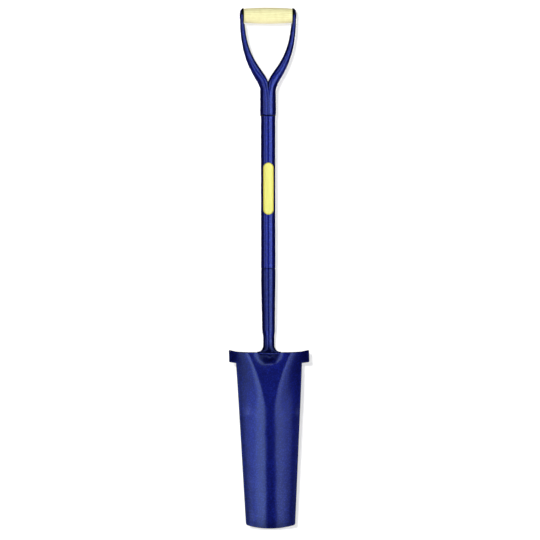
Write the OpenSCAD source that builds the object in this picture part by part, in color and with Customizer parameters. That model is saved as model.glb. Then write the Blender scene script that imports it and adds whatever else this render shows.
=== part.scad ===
// Trenching spade: hollow-fronted steel blade, tube shaft and split D handle with a wooden grip.
// Millimetres, upright. The origin is the middle of the cutting edge and the hollow front faces -Y.

/* [Blade] */
// plate length from the middle of the cutting edge to the top edge
blade_len = 385; // [300:1:450]
// forward lean of the plate from the line of the shaft, degrees
blade_lift = 9; // [2:0.5:14]
// width across the cutting edge
edge_w = 106.5; // [85:0.5:140]
// width just under the treads
shoulder_w = 143; // [115:0.5:160]
// height of the bow in the cutting edge
edge_bow = 6; // [2:0.5:18]
// corner radius at the ends of the cutting edge
edge_corner_r = 4; // [2:0.5:8]
// plate thickness
plate_t = 3.2; // [2:0.1:4.5]
// thickness left along the cutting edge
edge_t = 1.2; // [0.6:0.1:1.9]
// length of the bevel behind the cutting edge
bevel_len = 12; // [9:0.5:25]

/* [Dish] */
// half width of the flat panel at the top edge
panel_half = 46.5; // [30:0.5:55]
// half width of the flat strip that is left down the middle
panel_least = 2; // [1:0.5:10]
// distance down the plate over which the panel narrows
panel_fade = 140; // [80:1:220]
// slope that the sides turn up to at the top, rise over width
wing_slope_top = 0.67; // [0.3:0.01:0.9]
// slope that the sides turn up to lower down, rise over width
wing_slope = 0.5; // [0.3:0.01:0.9]
// distance over which the sides turn up at the top
wing_turn_top = 11; // [8:0.5:30]
// distance over which the sides turn up lower down
wing_turn = 30; // [15:1:90]
// width of the strip along each side that curls up further
curl_w = 24; // [12:0.5:32]
// slope that the curl adds at the edge lower down, rise over width
curl_slope = 0.2; // [0:0.01:0.35]
// width of the hollow under the neck
hollow_w = 47; // [32:0.5:50]
// height of the hollow under the neck
hollow_h = 25; // [12:0.5:30]
// depth of the hollow under the neck
hollow_d = 10; // [5:0.5:12]

/* [Treads] */
// width across both treads
tread_w = 173.7; // [165:0.1:200]
// height of each tread
tread_h = 27; // [24:0.5:36]
// rise of each tread's top toward its tip
tread_rise = 1.5; // [0.5:0.1:3]
// corner radius of the treads
tread_corner_r = 2.5; // [1:0.5:4]

/* [Socket] */
// height of the socket from the blade's top edge to the joint with the tube
socket_len = 180.2; // [150:0.1:220]
// diameter at the top of the shoulder
shoulder_d = 28.6; // [28:0.1:30]
// diameter of the neck
neck_d = 24.9; // [22:0.1:27]
// height of the shoulder's top above the blade's top edge
shoulder_h = 47; // [44:0.5:60]
// height of the sloping shoulder
shoulder_drop = 16; // [10:0.5:20]
// height of the flared foot of the neck
foot_h = 15; // [12:0.5:22]
// width of the flared foot
foot_w = 52; // [44:0.5:58]
// thickness of the flared foot, front to back
foot_t = 19; // [16:0.5:22]
// distance of the shaft's line behind the plate's front face at the top edge
neck_set = 8; // [6:0.5:10]
// straight length of the socket under the joint
socket_lead = 15; // [5:0.5:30]
// wall left around the hollow of the socket
socket_wall = 3; // [2.5:0.1:5]
// radius of the bead under the foot
bead_r = 2.4; // [1.5:0.1:3]

/* [Shaft] */
// outside diameter of the tube
shaft_d = 32; // [30:0.1:36]
// wall of the tube
shaft_wall = 2; // [1.8:0.1:3]
// length of the tube that shows between joint and yoke
shaft_show = 332; // [200:1:600]
// length of the sleeve inside the joint
spigot_len = 90; // [60:1:120]
// wall of the sleeve inside the joint
spigot_wall = 3; // [2:0.1:5]
// depth of the groove at the joint
groove_d = 1.2; // [0.8:0.1:1.6]
// half the width of the groove at the joint
groove_half = 1; // [0.6:0.1:1.5]
// height of the weld in the groove
groove_fill = 0.55; // [0.3:0.05:0.7]

/* [Yoke] */
// sheet thickness of the two halves
yoke_t = 1.5; // [1.2:0.1:2]
// height of the straight sleeve on the tube
sleeve_len = 53.7; // [45:0.1:80]
// length of tube inside the sleeve
tube_inside = 30; // [20:1:40]
// height from the top of the straight sleeve to the grip's axis
fork_to_grip = 160.4; // [140:0.1:200]
// half width of each arm where it leaves the sleeve
arm_root_half = 9.4; // [9:0.1:11]
// fullness of the arms at the crotch
arm_swell_half = 14.4; // [11:0.1:16]
// half width of the arms higher up
arm_mid_half = 7.1; // [6:0.1:9]
// half width of the arms just under the grip
arm_top_half = 5.5; // [5:0.1:6.5]
// how far each arm runs straight on before it bends out
arm_pull_low = 34.3; // [25:0.1:45]
// how far each arm straightens before it meets the grip
arm_pull_high = 95.8; // [70:0.1:105]
// inward lean of the arms' upper stretch
arm_lean = 6; // [3:0.1:10]
// thickness of the flattened ends beside the grip
eye_t = 8.6; // [8:0.1:11]
// depth of the arms front to back
arm_depth = 25; // [22:0.5:30]
// height of each flattened end above the grip's axis
eye_rise = 15.9; // [12:0.1:20]
// corner radius at the top of each flattened end
eye_top_r = 7; // [4:0.5:7.5]
// depth of the groove at the seam
seam_groove = 0.7; // [0.4:0.1:1]
// half the width of the weld in the seam
seam_weld_half = 0.7; // [0.4:0.1:0.8]
// height of the fillet at the lower rim
collar_weld_h = 3; // [2:0.1:4]
// how far that fillet stands proud of the sleeve
collar_weld_proud = 0.2; // [0.1:0.1:0.5]

/* [Grip] */
// length of the wooden barrel
grip_len = 104.6; // [90:0.1:130]
// diameter at the middle of the barrel
grip_mid_d = 34.6; // [32:0.1:40]
// diameter at the ends of the barrel
grip_end_d = 30.4; // [28:0.1:32]
// chamfer at the ends of the barrel
grip_chamfer = 1.2; // [0.5:0.1:2]
// diameter of the rivet
rivet_d = 8; // [6:0.1:9]
// diameter of the rivet's heads
rivet_head_d = 14; // [12:0.1:16]
// height of the rivet's heads
rivet_head_h = 1.4; // [1:0.1:2.5]

/* [Label] */
// width of the label as seen from the front
label_w = 23; // [15:0.1:26]
// height of the label
label_h = 113; // [60:1:180]
// distance from the label's top to the yoke
label_drop = 103; // [30:1:150]
// thickness of the label
label_t = 0.25; // [0.2:0.05:0.5]

/* [Fits] */
// gap left between pieces that are welded or pushed together
fit_gap = 0.1; // [0.05:0.05:0.2]
// gap left between the beads under the foot and the faces of the plate
bead_gap = 0.35; // [0.3:0.05:0.5]
// running gap around the rivet inside the grip
turn_gap = 0.08; // [0.05:0.01:0.1]
// gap at each end of the grip
end_gap = 0.3; // [0.2:0.1:0.6]

/* [Hidden] */
$fn = 96;
paint = "midnightblue";

// heights and depths that follow from the sizes above
heel_y = blade_len * sin(blade_lift);
heel_z = blade_len * cos(blade_lift);
shaft_y = heel_y + neck_set;
shaft_r = shaft_d / 2;
bore_r = shaft_r - shaft_wall;
neck_r = neck_d / 2;
joint_z = heel_z + socket_len;
collar_z = joint_z + shaft_show;
fork_z = collar_z + sleeve_len;
grip_z = fork_z + fork_to_grip;
sleeve_r = shaft_r + fit_gap + yoke_t;
eye_in = grip_len / 2 + end_gap;
eye_out = eye_in + eye_t;
eye_top_z = grip_z + eye_rise;
rivet_r = rivet_d / 2;
shoulder_r = shoulder_d / 2;
shoulder_z = heel_z + shoulder_h;
neck_z = shoulder_z - shoulder_drop;
foot_z = heel_z + foot_h;
spigot_bottom_z = joint_z - spigot_len / 2;
label_top_z = collar_z - label_drop;

// a point of the plate: across, up along it from the cutting edge, and out from its front face
function on_plate(x, up, out) = [
  x,
  up * sin(blade_lift) - out * cos(blade_lift),
  up * cos(blade_lift) + out * sin(blade_lift)
];

// how far a plain corner of radius r is cut back at distance d from its end
function corner_cut(r, d) = let (left = max(0, r - max(0, d))) r - sqrt(r * r - left * left);

// rows of the plate by height, closer at the corners, the treads and the hollow
tread_row = blade_len - tread_h;
body_steps = 18;
hollow_steps = 6;
corner_share = 0.3;
plate_rows = concat(
  [0, edge_corner_r * corner_share, edge_corner_r],
  [for (k = [0 : body_steps]) bevel_len + (tread_row - bevel_len) * k / body_steps],
  [tread_row + tread_corner_r * corner_share, tread_row + tread_corner_r],
  [
    for (k = [0 : hollow_steps])
      let (low = min(hollow_h, tread_h - 2 * tread_corner_r), high = tread_corner_r)
        blade_len - low + (low - high) * k / hollow_steps
  ],
  [blade_len - tread_corner_r * corner_share, blade_len]
);
row_count = len(plate_rows);
tread_first = 3 + body_steps;

// columns of the plate: treads outside, body between
body_cols = 28;
ear_cols = 3;
col_count = body_cols + 2 * ear_cols + 1;

function half_width(row) = side_half(row) - corner_cut(edge_corner_r, row);
function tread_end(row) =
  tread_w / 2 - corner_cut(tread_corner_r, min(row - tread_row, blade_len - row));
function column_x(i, row) =
  let (half = half_width(row), side = i - ear_cols - body_cols / 2, over = abs(side) - body_cols / 2)
    over <= 0
      ? half * side * 2 / body_cols
      : sign(side) * (half + (tread_end(row) - half) * over / ear_cols);

// height along the plate, with the bow of the edge fading upward and the treads left high for trimming
tread_reach = (tread_w - shoulder_w) / 2;
tread_step = 0.4;
tread_spare = tread_rise + 2 * tread_step;
function plate_up(x, row) =
  row + edge_bow * pow(2 * x / edge_w, 2) * (1 - row / blade_len)
  + tread_spare * min(1, ear_cols * max(0, abs(x) - shoulder_w / 2) / tread_reach)
  * max(0, row - tread_row) / tread_h;

// shape of the front face by distance down from the top edge
function fade(down) = min(1, max(0, down) / panel_fade);
panel_curve = 1.5;
function panel(down) = panel_least + (panel_half - panel_least) * pow(1 - fade(down), panel_curve);
function turn(down) = wing_turn_top + (wing_turn - wing_turn_top) * pow(fade(down), 2);
function limit_slope(down) = wing_slope_top + (wing_slope - wing_slope_top) * fade(down);
function past_panel(x, down) = max(0, abs(x) - panel(down));
function side_half(row) = edge_w / 2 + (shoulder_w - edge_w) / 2 * min(1, row / tread_row);
function past_curl(x, down) = max(0, abs(x) - side_half(blade_len - down) + curl_w);
function curl_share(down) = curl_slope * pow(fade(down), 2) / curl_w;
function dish_slope(x, down) =
  limit_slope(down) * (1 - exp(-past_panel(x, down) / turn(down)))
  + curl_share(down) * past_curl(x, down);
function dish(x, down) =
  limit_slope(down) * (past_panel(x, down) - turn(down) * (1 - exp(-past_panel(x, down) / turn(down))))
  + curl_share(down) * pow(past_curl(x, down), 2) / 2;
function hollow(x, down) =
  hollow_d * max(0, 1 - pow(2 * x / hollow_w, 2) - pow(max(0, down) / hollow_h, 2));
function front_face(x, up) = dish(x, blade_len - up) - hollow(x, blade_len - up);
function plate_thickness(row) = edge_t + (plate_t - edge_t) * min(1, row / bevel_len);

function front_point(i, row) =
  let (x = column_x(i, row), up = plate_up(x, row)) on_plate(x, up, front_face(x, up));
function back_point(i, row) =
  let (x = column_x(i, row), up = plate_up(x, row), slope = dish_slope(x, blade_len - up))
    on_plate(x, up, front_face(x, up) - plate_thickness(row) * sqrt(1 + slope * slope));

plate_points = concat(
  [for (row = plate_rows) for (i = [0 : col_count - 1]) front_point(i, row)],
  [for (row = plate_rows) for (i = [0 : col_count - 1]) back_point(i, row)]
);

function in_plate(i, j) =
  i >= 0 && i < col_count - 1 && j >= 0 && j < row_count - 1
  && (j >= tread_first || (i >= ear_cols && i < ear_cols + body_cols));
function front_id(i, j) = j * col_count + i;
function back_id(i, j) = front_id(i, j) + row_count * col_count;
function quad(a, b, c, d) = [[a, b, c], [a, c, d]];
function cell_faces(i, j) = concat(
  quad(front_id(i, j), front_id(i, j + 1), front_id(i + 1, j + 1), front_id(i + 1, j)),
  quad(back_id(i, j), back_id(i + 1, j), back_id(i + 1, j + 1), back_id(i, j + 1)),
  in_plate(i - 1, j) ? [] : quad(back_id(i, j), back_id(i, j + 1), front_id(i, j + 1), front_id(i, j)),
  in_plate(i + 1, j)
    ? []
    : quad(front_id(i + 1, j), front_id(i + 1, j + 1), back_id(i + 1, j + 1), back_id(i + 1, j)),
  in_plate(i, j + 1)
    ? []
    : quad(front_id(i + 1, j + 1), front_id(i, j + 1), back_id(i, j + 1), back_id(i + 1, j + 1)),
  in_plate(i, j - 1) ? [] : quad(front_id(i, j), front_id(i + 1, j), back_id(i + 1, j), back_id(i, j))
);
plate_faces = [
  for (j = [0 : row_count - 2])
    for (i = [0 : col_count - 2])
      if (in_plate(i, j))
        for (f = cell_faces(i, j))
          f
];

// faces of a closed tube of rings, each ring having the same number of points
function ring_sides(rings, count) = [
  for (k = [0 : rings - 2])
    for (m = [0 : count - 1])
      let (next = (m + 1) % count)
        for (f = quad(k * count + m, (k + 1) * count + m, (k + 1) * count + next, k * count + next))
          f
];
function ring_ends(rings, count) = [
  [for (m = [0 : count - 1]) m],
  [for (m = [count - 1 : -1 : 0]) (rings - 1) * count + m]
];

// flared foot of the neck, from a circle down to an oval that lies on the plate's top edge
foot_points = 36;
foot_rings = 9;
foot_lip = 0.25;
foot_rim = 1.2;
foot_overlap = 2;
foot_top_r = neck_r + foot_lip;
function foot_bottom(y) = heel_z + fit_gap - (y + neck_set) * tan(blade_lift);
function foot_point(k, m) =
  let (
    down = min(90, 90 * k / foot_rings),
    angle = m * 360 / foot_points,
    x = (foot_top_r + (foot_w / 2 - foot_top_r) * (1 - cos(down))) * cos(angle),
    y = (foot_top_r + (foot_t / 2 - foot_top_r) * (1 - cos(down))) * sin(angle),
    low = foot_bottom(y) + (k > foot_rings ? 0 : foot_rim)
  )
    [x, y, foot_z + (low - foot_z) * sin(down)];
foot_mesh = [
  for (k = [0 : foot_rings + 1]) for (m = [foot_points - 1 : -1 : 0]) foot_point(k, m)
];

// beads under the foot, in the corners that it makes with the two faces of the plate
bead_sides = 10;
bead_rings = 15;
bead_half = foot_w / 2 - 2 * bead_r;
bead_end_share = 0.45;
function bead_size(k) =
  bead_r * (bead_end_share + (1 - bead_end_share) * sqrt(sin(180 * k / (bead_rings - 1))));
function bead_out(front, x, r) =
  front_face(x, blade_len - bead_r) + (front ? r + bead_gap : -plate_t - r - bead_gap);
function bead_point(front, k, m) =
  let (
    angle = m * 360 / bead_sides,
    x = bead_half * (2 * k / (bead_rings - 1) - 1),
    r = bead_size(k)
  )
    on_plate(x, blade_len - bead_r + r * cos(angle), bead_out(front, x, r) + r * sin(angle));
function bead_mesh(front) = [
  for (k = [0 : bead_rings - 1]) for (m = [bead_sides - 1 : -1 : 0]) bead_point(front, k, m)
];

// one arm of the yoke: centre line and half width of the arm seen from the front
arm_steps = 20;
eye_low_z = grip_z - grip_end_d / 2 - 2 * end_gap;
arm_root = [sleeve_r - arm_root_half, fork_z];
arm_tip = [eye_out - arm_top_half, eye_low_z - eye_t / 3];
arm_low = arm_root + [0, arm_pull_low];
arm_high = arm_tip - [arm_lean, arm_pull_high];
function curve(a, b, c, d, t) =
  a * pow(1 - t, 3) + 3 * b * t * pow(1 - t, 2) + 3 * c * t * t * (1 - t) + d * pow(t, 3);
function curve_way(a, b, c, d, t) =
  3 * (b - a) * pow(1 - t, 2) + 6 * (c - b) * t * (1 - t) + 3 * (d - c) * t * t;
function arm_centre(t) = curve(arm_root, arm_low, arm_high, arm_tip, t);
function arm_half(t) = curve(arm_root_half, arm_swell_half, arm_mid_half, arm_top_half, t);
function arm_across(t) =
  let (way = curve_way(arm_root, arm_low, arm_high, arm_tip, t)) [way[1], -way[0]] / norm(way);

// stations of an arm: outer edge, inner edge, half depth, opening angle and hollow share
seam_x = fit_gap;
sleeve_angle = 90;
open_angle = 150;
closed_angle = 172;
curl_len = 74;
depth_rate = 2.2;
function ease(t) = let (s = min(1, max(0, t))) s * s * (3 - 2 * s);
function opening(z) =
  sleeve_angle + (open_angle - sleeve_angle) * ease((z - collar_z - tube_inside) / curl_len);
function half_depth(t) = sleeve_r + (arm_depth / 2 - sleeve_r) * ease(t * depth_rate);
function sleeve_station(z) = [[sleeve_r, z], [seam_x, z], sleeve_r, opening(z), 1];
function arm_station(t) =
  let (
    centre = arm_centre(t),
    reach = arm_across(t) * arm_half(t),
    inner = centre - reach,
    outer = centre + reach
  )
    [outer, [max(seam_x, inner[0]), inner[1]], half_depth(t), opening(centre[1]), 1];
function eye_station(angle) =
  let (cut = eye_top_r * (1 - cos(angle)), z = eye_top_z - eye_top_r * (1 - sin(angle)))
    [
      [eye_out - cut, z],
      [eye_in, z],
      arm_depth / 2 - cut,
      open_angle + (closed_angle - open_angle) * angle / 90,
      1 - angle / 92
    ];
arm_stations = concat(
  [sleeve_station(collar_z), sleeve_station(collar_z + tube_inside)],
  [for (k = [1 : 3]) sleeve_station(collar_z + tube_inside + (sleeve_len - tube_inside) * k / 4)],
  [for (k = [0 : arm_steps]) arm_station(k / arm_steps)],
  [[[eye_out, eye_low_z], [eye_in, eye_low_z], arm_depth / 2, open_angle, 1]],
  [for (angle = [0, 20, 40, 55, 70]) eye_station(angle)]
);

// each station is a C-shaped strip of sheet on part of an oval, its lips eased at the seam
lip_angle = 4;
strip_steps = 20;
function strip_angle(open, m) =
  m == 0 ? -open
  : m == strip_steps ? open
  : (open - lip_angle) * (2 * (m - 1) / (strip_steps - 2) - 1);
function strip_point(s, m, inside) =
  let (
    lip = m == 0 || m == strip_steps,
    depth = inside ? yoke_t : (lip ? seam_groove : 0),
    angle = strip_angle(s[3], m),
    span = norm(s[0] - s[1]),
    across = (s[0] - s[1]) / span,
    half_span = span / (1 - cos(s[3])),
    middle = s[0] - across * half_span,
    share = inside ? s[4] : 1,
    flat = middle + across * (half_span - depth) * share * cos(angle),
    inward = min(0, flat[0] - seam_x)
  )
    [flat[0] - inward, (s[2] - depth) * share * sin(angle), flat[1]];
strip_count = 2 * (strip_steps + 1);
arm_mesh = [
  for (s = arm_stations)
    for (m = [0 : strip_count - 1])
      m <= strip_steps ? strip_point(s, m, false) : strip_point(s, strip_count - 1 - m, true)
];
function strip_end(base, flip) = [
  for (m = [0 : strip_steps - 1])
    let (a = base + m, b = base + m + 1, c = base + strip_count - 2 - m, d = base + strip_count - 1 - m)
      for (f = flip ? quad(d, c, b, a) : quad(a, b, c, d))
        f
];
arm_faces = concat(
  ring_sides(len(arm_stations), strip_count),
  strip_end(0, false),
  strip_end((len(arm_stations) - 1) * strip_count, true)
);

// the top of each tread is trimmed flat, rising a little toward its tip
module blade() {
  color(paint)
    difference() {
      polyhedron(points = plate_points, faces = plate_faces, convexity = 6);
      for (side = [0, 1])
        mirror([side, 0, 0])
          rotate([-blade_lift, 0, 0])
            translate([shoulder_w / 2, 0, blade_len + tread_step])
              rotate([0, -atan(tread_rise / tread_reach), 0])
                translate([0, -tread_w / 2, 0])
                  cube([tread_w / 2, tread_w, tread_h]);
    }
}

// a point of an S-shaped taper between two points given as radius and height
function eased(low, high, t) =
  [low[0] + (high[0] - low[0]) * ease(t), low[1] + (high[1] - low[1]) * t];

// the outside is turned, the foot is flared flat and the top is bored for the sleeve
module socket() {
  neck_top = [neck_r, neck_z];
  shoulder_top = [shoulder_r, shoulder_z];
  taper_top = [shaft_r, joint_z - socket_lead];
  shoulder_side = [for (k = [0 : 6]) eased(neck_top, shoulder_top, k / 6)];
  taper_side = [for (k = [1 : 12]) eased(shoulder_top, taper_top, k / 12)];
  hollow_top_r = bore_r - socket_wall / 2;
  hollow_low_r = shoulder_r - 2 * socket_wall;
  color(paint)
    translate([0, shaft_y, 0])
      difference() {
        union() {
          rotate_extrude()
            polygon([
              [0, foot_z - foot_overlap],
              [neck_r, foot_z - foot_overlap],
              each shoulder_side,
              each taper_side,
              [shaft_r, joint_z - groove_half],
              [shaft_r - groove_d, joint_z],
              [0, joint_z]
            ]);
          polyhedron(
            points = foot_mesh,
            faces = concat(ring_sides(foot_rings + 2, foot_points), ring_ends(foot_rings + 2, foot_points)),
            convexity = 4
          );
        }
        translate([0, 0, spigot_bottom_z])
          cylinder(r = bore_r, h = spigot_len);
        translate([0, 0, shoulder_z])
          cylinder(r1 = hollow_low_r, r2 = hollow_top_r, h = spigot_bottom_z - shoulder_z + fit_gap);
      }
}

module neck_weld() {
  color(paint) {
    polyhedron(
      points = bead_mesh(true),
      faces = concat(ring_sides(bead_rings, bead_sides), ring_ends(bead_rings, bead_sides)),
      convexity = 4
    );
    polyhedron(
      points = bead_mesh(false),
      faces = concat(ring_sides(bead_rings, bead_sides), ring_ends(bead_rings, bead_sides)),
      convexity = 4
    );
  }
}

module shaft_tube() {
  color(paint)
    translate([0, shaft_y, 0])
      rotate_extrude()
        polygon([
          [bore_r, joint_z],
          [shaft_r - groove_d, joint_z],
          [shaft_r, joint_z + groove_half],
          [shaft_r, collar_z + tube_inside],
          [bore_r, collar_z + tube_inside]
        ]);
}

module joint_spigot() {
  color("gray")
    translate([0, shaft_y, spigot_bottom_z])
      difference() {
        cylinder(r = bore_r - fit_gap, h = spigot_len);
        translate([0, 0, -1])
          cylinder(r = bore_r - fit_gap - spigot_wall, h = spigot_len + 2);
      }
}

// sunk weld in the groove round the joint
module joint_weld() {
  bottom_r = shaft_r - groove_d;
  fill_half = groove_half * groove_fill / groove_d;
  color(paint)
    translate([0, shaft_y, joint_z])
      rotate_extrude()
        polygon([
          [bottom_r, 0],
          [bottom_r + groove_fill, -fill_half],
          [bottom_r + groove_fill + fit_gap, 0],
          [bottom_r + groove_fill, fill_half]
        ]);
}

module arm_right() {
  color(paint)
    translate([0, shaft_y, 0])
      difference() {
        polyhedron(points = arm_mesh, faces = arm_faces, convexity = 8);
        translate([eye_in - 1, 0, grip_z])
          rotate([0, 90, 0])
            cylinder(r = rivet_r + fit_gap, h = eye_t + 2);
      }
}

module arm_left() {
  mirror([1, 0, 0])
    arm_right();
}

// thin fill in the seam of the sleeve, front and back
module seam_weld() {
  top_y = sleeve_r - fit_gap;
  low_y = sleeve_r - seam_groove + fit_gap;
  color(paint)
    translate([0, shaft_y, collar_z])
      for (side = [0, 180])
        rotate([0, 0, side])
          linear_extrude(height = sleeve_len)
            polygon([
              [0, -low_y],
              [seam_weld_half, -top_y + fit_gap / 2],
              [0, -top_y],
              [-seam_weld_half, -top_y + fit_gap / 2]
            ]);
}

// fillet at the lower rim of the yoke
module collar_weld() {
  color(paint)
    translate([0, shaft_y, collar_z - fit_gap])
      rotate_extrude()
        polygon([
          [shaft_r, -collar_weld_h],
          [shaft_r + yoke_t / 2, -collar_weld_h + yoke_t / 4],
          [sleeve_r + collar_weld_proud, -collar_weld_h / 3],
          [sleeve_r, 0],
          [shaft_r, 0]
        ]);
}

// the barrel's side is one long arc from end to end
module grip() {
  swell = (grip_mid_d - grip_end_d) / 2;
  barrel_r = (grip_len * grip_len / 4 + swell * swell) / (2 * swell);
  hole_r = rivet_r + turn_gap;
  color("burlywood")
    translate([0, shaft_y, grip_z])
      rotate([0, 90, 0])
        rotate_extrude()
          intersection() {
            translate([grip_mid_d / 2 - barrel_r, 0])
              circle(r = barrel_r, $fn = 720);
            polygon([
              [hole_r, -grip_len / 2],
              [grip_end_d / 2 - grip_chamfer, -grip_len / 2],
              [grip_end_d / 2 + swell, -grip_len / 2 + grip_chamfer + swell],
              [grip_end_d / 2 + swell, grip_len / 2 - grip_chamfer - swell],
              [grip_end_d / 2 - grip_chamfer, grip_len / 2],
              [hole_r, grip_len / 2]
            ]);
          }
}

module grip_rivet() {
  head_r = rivet_head_d / 2;
  dome_r = (head_r * head_r + rivet_head_h * rivet_head_h) / (2 * rivet_head_h);
  color(paint)
    translate([0, shaft_y, grip_z])
      rotate([0, 90, 0]) {
        translate([0, 0, -eye_out - fit_gap])
          cylinder(r = rivet_r, h = 2 * (eye_out + fit_gap));
        for (side = [0, 180])
          rotate([side, 0, 0])
            translate([0, 0, eye_out])
              intersection() {
                translate([0, 0, rivet_head_h - dome_r])
                  sphere(r = dome_r);
                cylinder(r = head_r, h = rivet_head_h + 1);
              }
      }
}

// thin sheet with round ends, wrapped on the front of the tube
module label() {
  end_r = label_w / 2;
  film_r = shaft_r + fit_gap / 2;
  color("gold")
    translate([0, shaft_y, label_top_z - label_h])
      intersection() {
        difference() {
          cylinder(r = film_r + label_t, h = label_h);
          translate([0, 0, -1])
            cylinder(r = film_r, h = label_h + 2);
        }
        rotate([90, 0, 0])
          linear_extrude(height = shaft_d)
            union() {
              translate([-end_r, end_r])
                square([label_w, label_h - label_w]);
              translate([0, end_r])
                circle(r = end_r);
              translate([0, label_h - end_r])
                circle(r = end_r);
            }
      }
}

blade();
socket();
neck_weld();
shaft_tube();
joint_spigot();
joint_weld();
arm_left();
arm_right();
seam_weld();
collar_weld();
grip();
grip_rivet();
label();
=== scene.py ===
import math

import bmesh
import bpy
import numpy as np
from mathutils import Matrix, Vector


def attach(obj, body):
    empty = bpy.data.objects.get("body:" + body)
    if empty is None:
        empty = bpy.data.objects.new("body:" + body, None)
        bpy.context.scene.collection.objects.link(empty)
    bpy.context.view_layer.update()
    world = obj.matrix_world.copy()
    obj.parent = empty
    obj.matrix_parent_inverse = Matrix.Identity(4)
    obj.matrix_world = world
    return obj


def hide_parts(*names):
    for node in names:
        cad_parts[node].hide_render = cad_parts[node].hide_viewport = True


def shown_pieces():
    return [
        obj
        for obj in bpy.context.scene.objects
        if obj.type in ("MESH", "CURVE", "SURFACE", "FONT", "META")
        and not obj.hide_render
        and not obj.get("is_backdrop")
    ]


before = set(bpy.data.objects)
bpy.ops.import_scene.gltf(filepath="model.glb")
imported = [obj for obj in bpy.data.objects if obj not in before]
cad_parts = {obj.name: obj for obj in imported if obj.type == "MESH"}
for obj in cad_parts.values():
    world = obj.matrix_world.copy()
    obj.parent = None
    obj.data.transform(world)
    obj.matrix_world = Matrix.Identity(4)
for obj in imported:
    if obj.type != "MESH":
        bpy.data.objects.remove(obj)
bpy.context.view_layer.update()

mm = 0.001
lift = math.radians(9)  # forward lean of the blade

# heights and depths that several pieces share, in millimetres
place = {
    "bladeLength": 385.0,
    "shaftRadius": 16.0,
    "shaftBehind": 8.0,  # shaft line behind the plate's front face at the top edge
    "socketLength": 180.2,
    "grooveDepth": 1.2,  # groove round the joint of socket and tube
    "grooveHalf": 1.1,
    "tubeShow": 332.0,
    "sleeveLength": 53.7,
    "tubeInside": 30.0,
    "sleeveRadius": 17.6,
    "forkToGrip": 160.4,
    "gripLength": 104.6,
}
heelY = place["bladeLength"] * math.sin(lift)
heelZ = place["bladeLength"] * math.cos(lift)
shaftY = heelY + place["shaftBehind"]
jointZ = heelZ + place["socketLength"]
collarZ = jointZ + place["tubeShow"]
forkZ = collarZ + place["sleeveLength"]
gripZ = forkZ + place["forkToGrip"]


# S-shaped step: 3t^2 - 2t^3 between 0 and 1
def ease(t):
    s = np.clip(t, 0.0, 1.0)
    return s * s * (3 - 2 * s)


# quarter round: sqrt(1 - (1 - t)^2), from 0 at the edge to 1
def quarterRound(t):
    return np.sqrt(np.clip(1 - (1 - np.clip(t, 0.0, 1.0)) ** 2, 0, 1))


# soft unevenness: four sine waves of unrelated lengths and slants added up, about -1 to 1
def uneven(a, b, wave, turn=0.0):
    p, q = np.asarray(a) / wave, np.asarray(b) / wave
    return 0.25 * (
        np.sin(6.28 * (p * 1.00 + q * 0.31) + turn)
        + np.sin(6.28 * (p * -0.43 + q * 1.17) + turn * 1.7 + 1.3)
        + np.sin(6.28 * (p * 1.71 + q * -0.83) + turn * 2.3 + 2.1)
        + np.sin(6.28 * (p * 0.77 + q * 1.93) + turn * 0.6 + 4.2)
    )


# coordinates side by side in the last axis, each spread to the shape of the largest
def columns(*parts):
    return np.stack(np.broadcast_arrays(*parts), -1)


# angles round a full circle, without the last, which is the first again
def roundSteps(steps):
    return np.linspace(0, 2 * math.pi, steps, endpoint=False)


# quads between each row of a grid and the next; wrap joins the last column to the first
def gridQuads(rows, cols, wrap=True, start=0):
    r = np.arange(rows - 1)[:, None] * cols
    c = np.arange(cols if wrap else cols - 1)[None, :]
    n = (c + 1) % cols
    quads = columns(r + c, r + n, r + cols + n, r + cols + c)
    return quads.reshape(-1, 4) + start


# a lofted skin: rings of points carried along a path, with both ends capped
def loftFaces(rings, count, start=0):
    first = np.arange(start, start + count)
    last = first + (rings - 1) * count
    return gridQuads(rings, count, start=start).tolist() + [first[::-1].tolist(), last.tolist()]


# a turned section that closes on itself: its first row comes again at the end, and the doubles merge later
def closedTurn(rows):
    closed = np.concatenate([rows, rows[:1]])
    return closed, gridQuads(len(closed), rows.shape[1])


# radius and height pairs turned about the shaft's line: x = r cos a, y = r sin a
def turned(profile, steps):
    a = roundSteps(steps)
    r, z = profile[:, :1], profile[:, 1:]
    return columns(r * np.cos(a), shaftY + r * np.sin(a), z)


# place along and radius pairs turned about the grip's line: y = r cos a, z = r sin a
def turnedAcross(profile, steps):
    a = roundSteps(steps)
    x, r = profile[:, :1], profile[:, 1:]
    return columns(x, shaftY + r * np.cos(a), gripZ + r * np.sin(a))


def addObject(name, data):
    made = bpy.data.objects.new(name, data)
    bpy.context.scene.collection.objects.link(made)
    return made


# puts the points (millimetres) into a closed mesh piece that faces outwards
def makePiece(name, points, faces, material, body, nodes, sharp=38, values=None):
    mesh = bpy.data.meshes.new(name)
    flat = np.asarray(points, float).reshape(-1, 3) * mm
    mesh.from_pydata(flat.tolist(), [], faces if isinstance(faces, list) else faces.tolist())
    for key, data in (values or {}).items():
        mesh.attributes.new(key, "FLOAT", "POINT").data.foreach_set(
            "value", np.asarray(data, np.float32).ravel())
    work = bmesh.new()
    work.from_mesh(mesh)
    loose = [v for v in work.verts if not v.link_faces]
    bmesh.ops.delete(work, geom=loose, context="VERTS")
    bmesh.ops.remove_doubles(work, verts=work.verts, dist=2e-6)
    bmesh.ops.dissolve_degenerate(work, edges=work.edges, dist=1e-6)
    bmesh.ops.recalc_face_normals(work, faces=work.faces)
    work.to_mesh(mesh)
    work.free()
    mesh.shade_smooth()
    mesh.set_sharp_from_angle(angle=math.radians(sharp))
    mesh.materials.append(material)
    piece = addObject(name, mesh)
    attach(piece, body)
    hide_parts(*nodes)
    print(name, len(mesh.vertices), "points", len(mesh.polygons), "faces")


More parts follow.
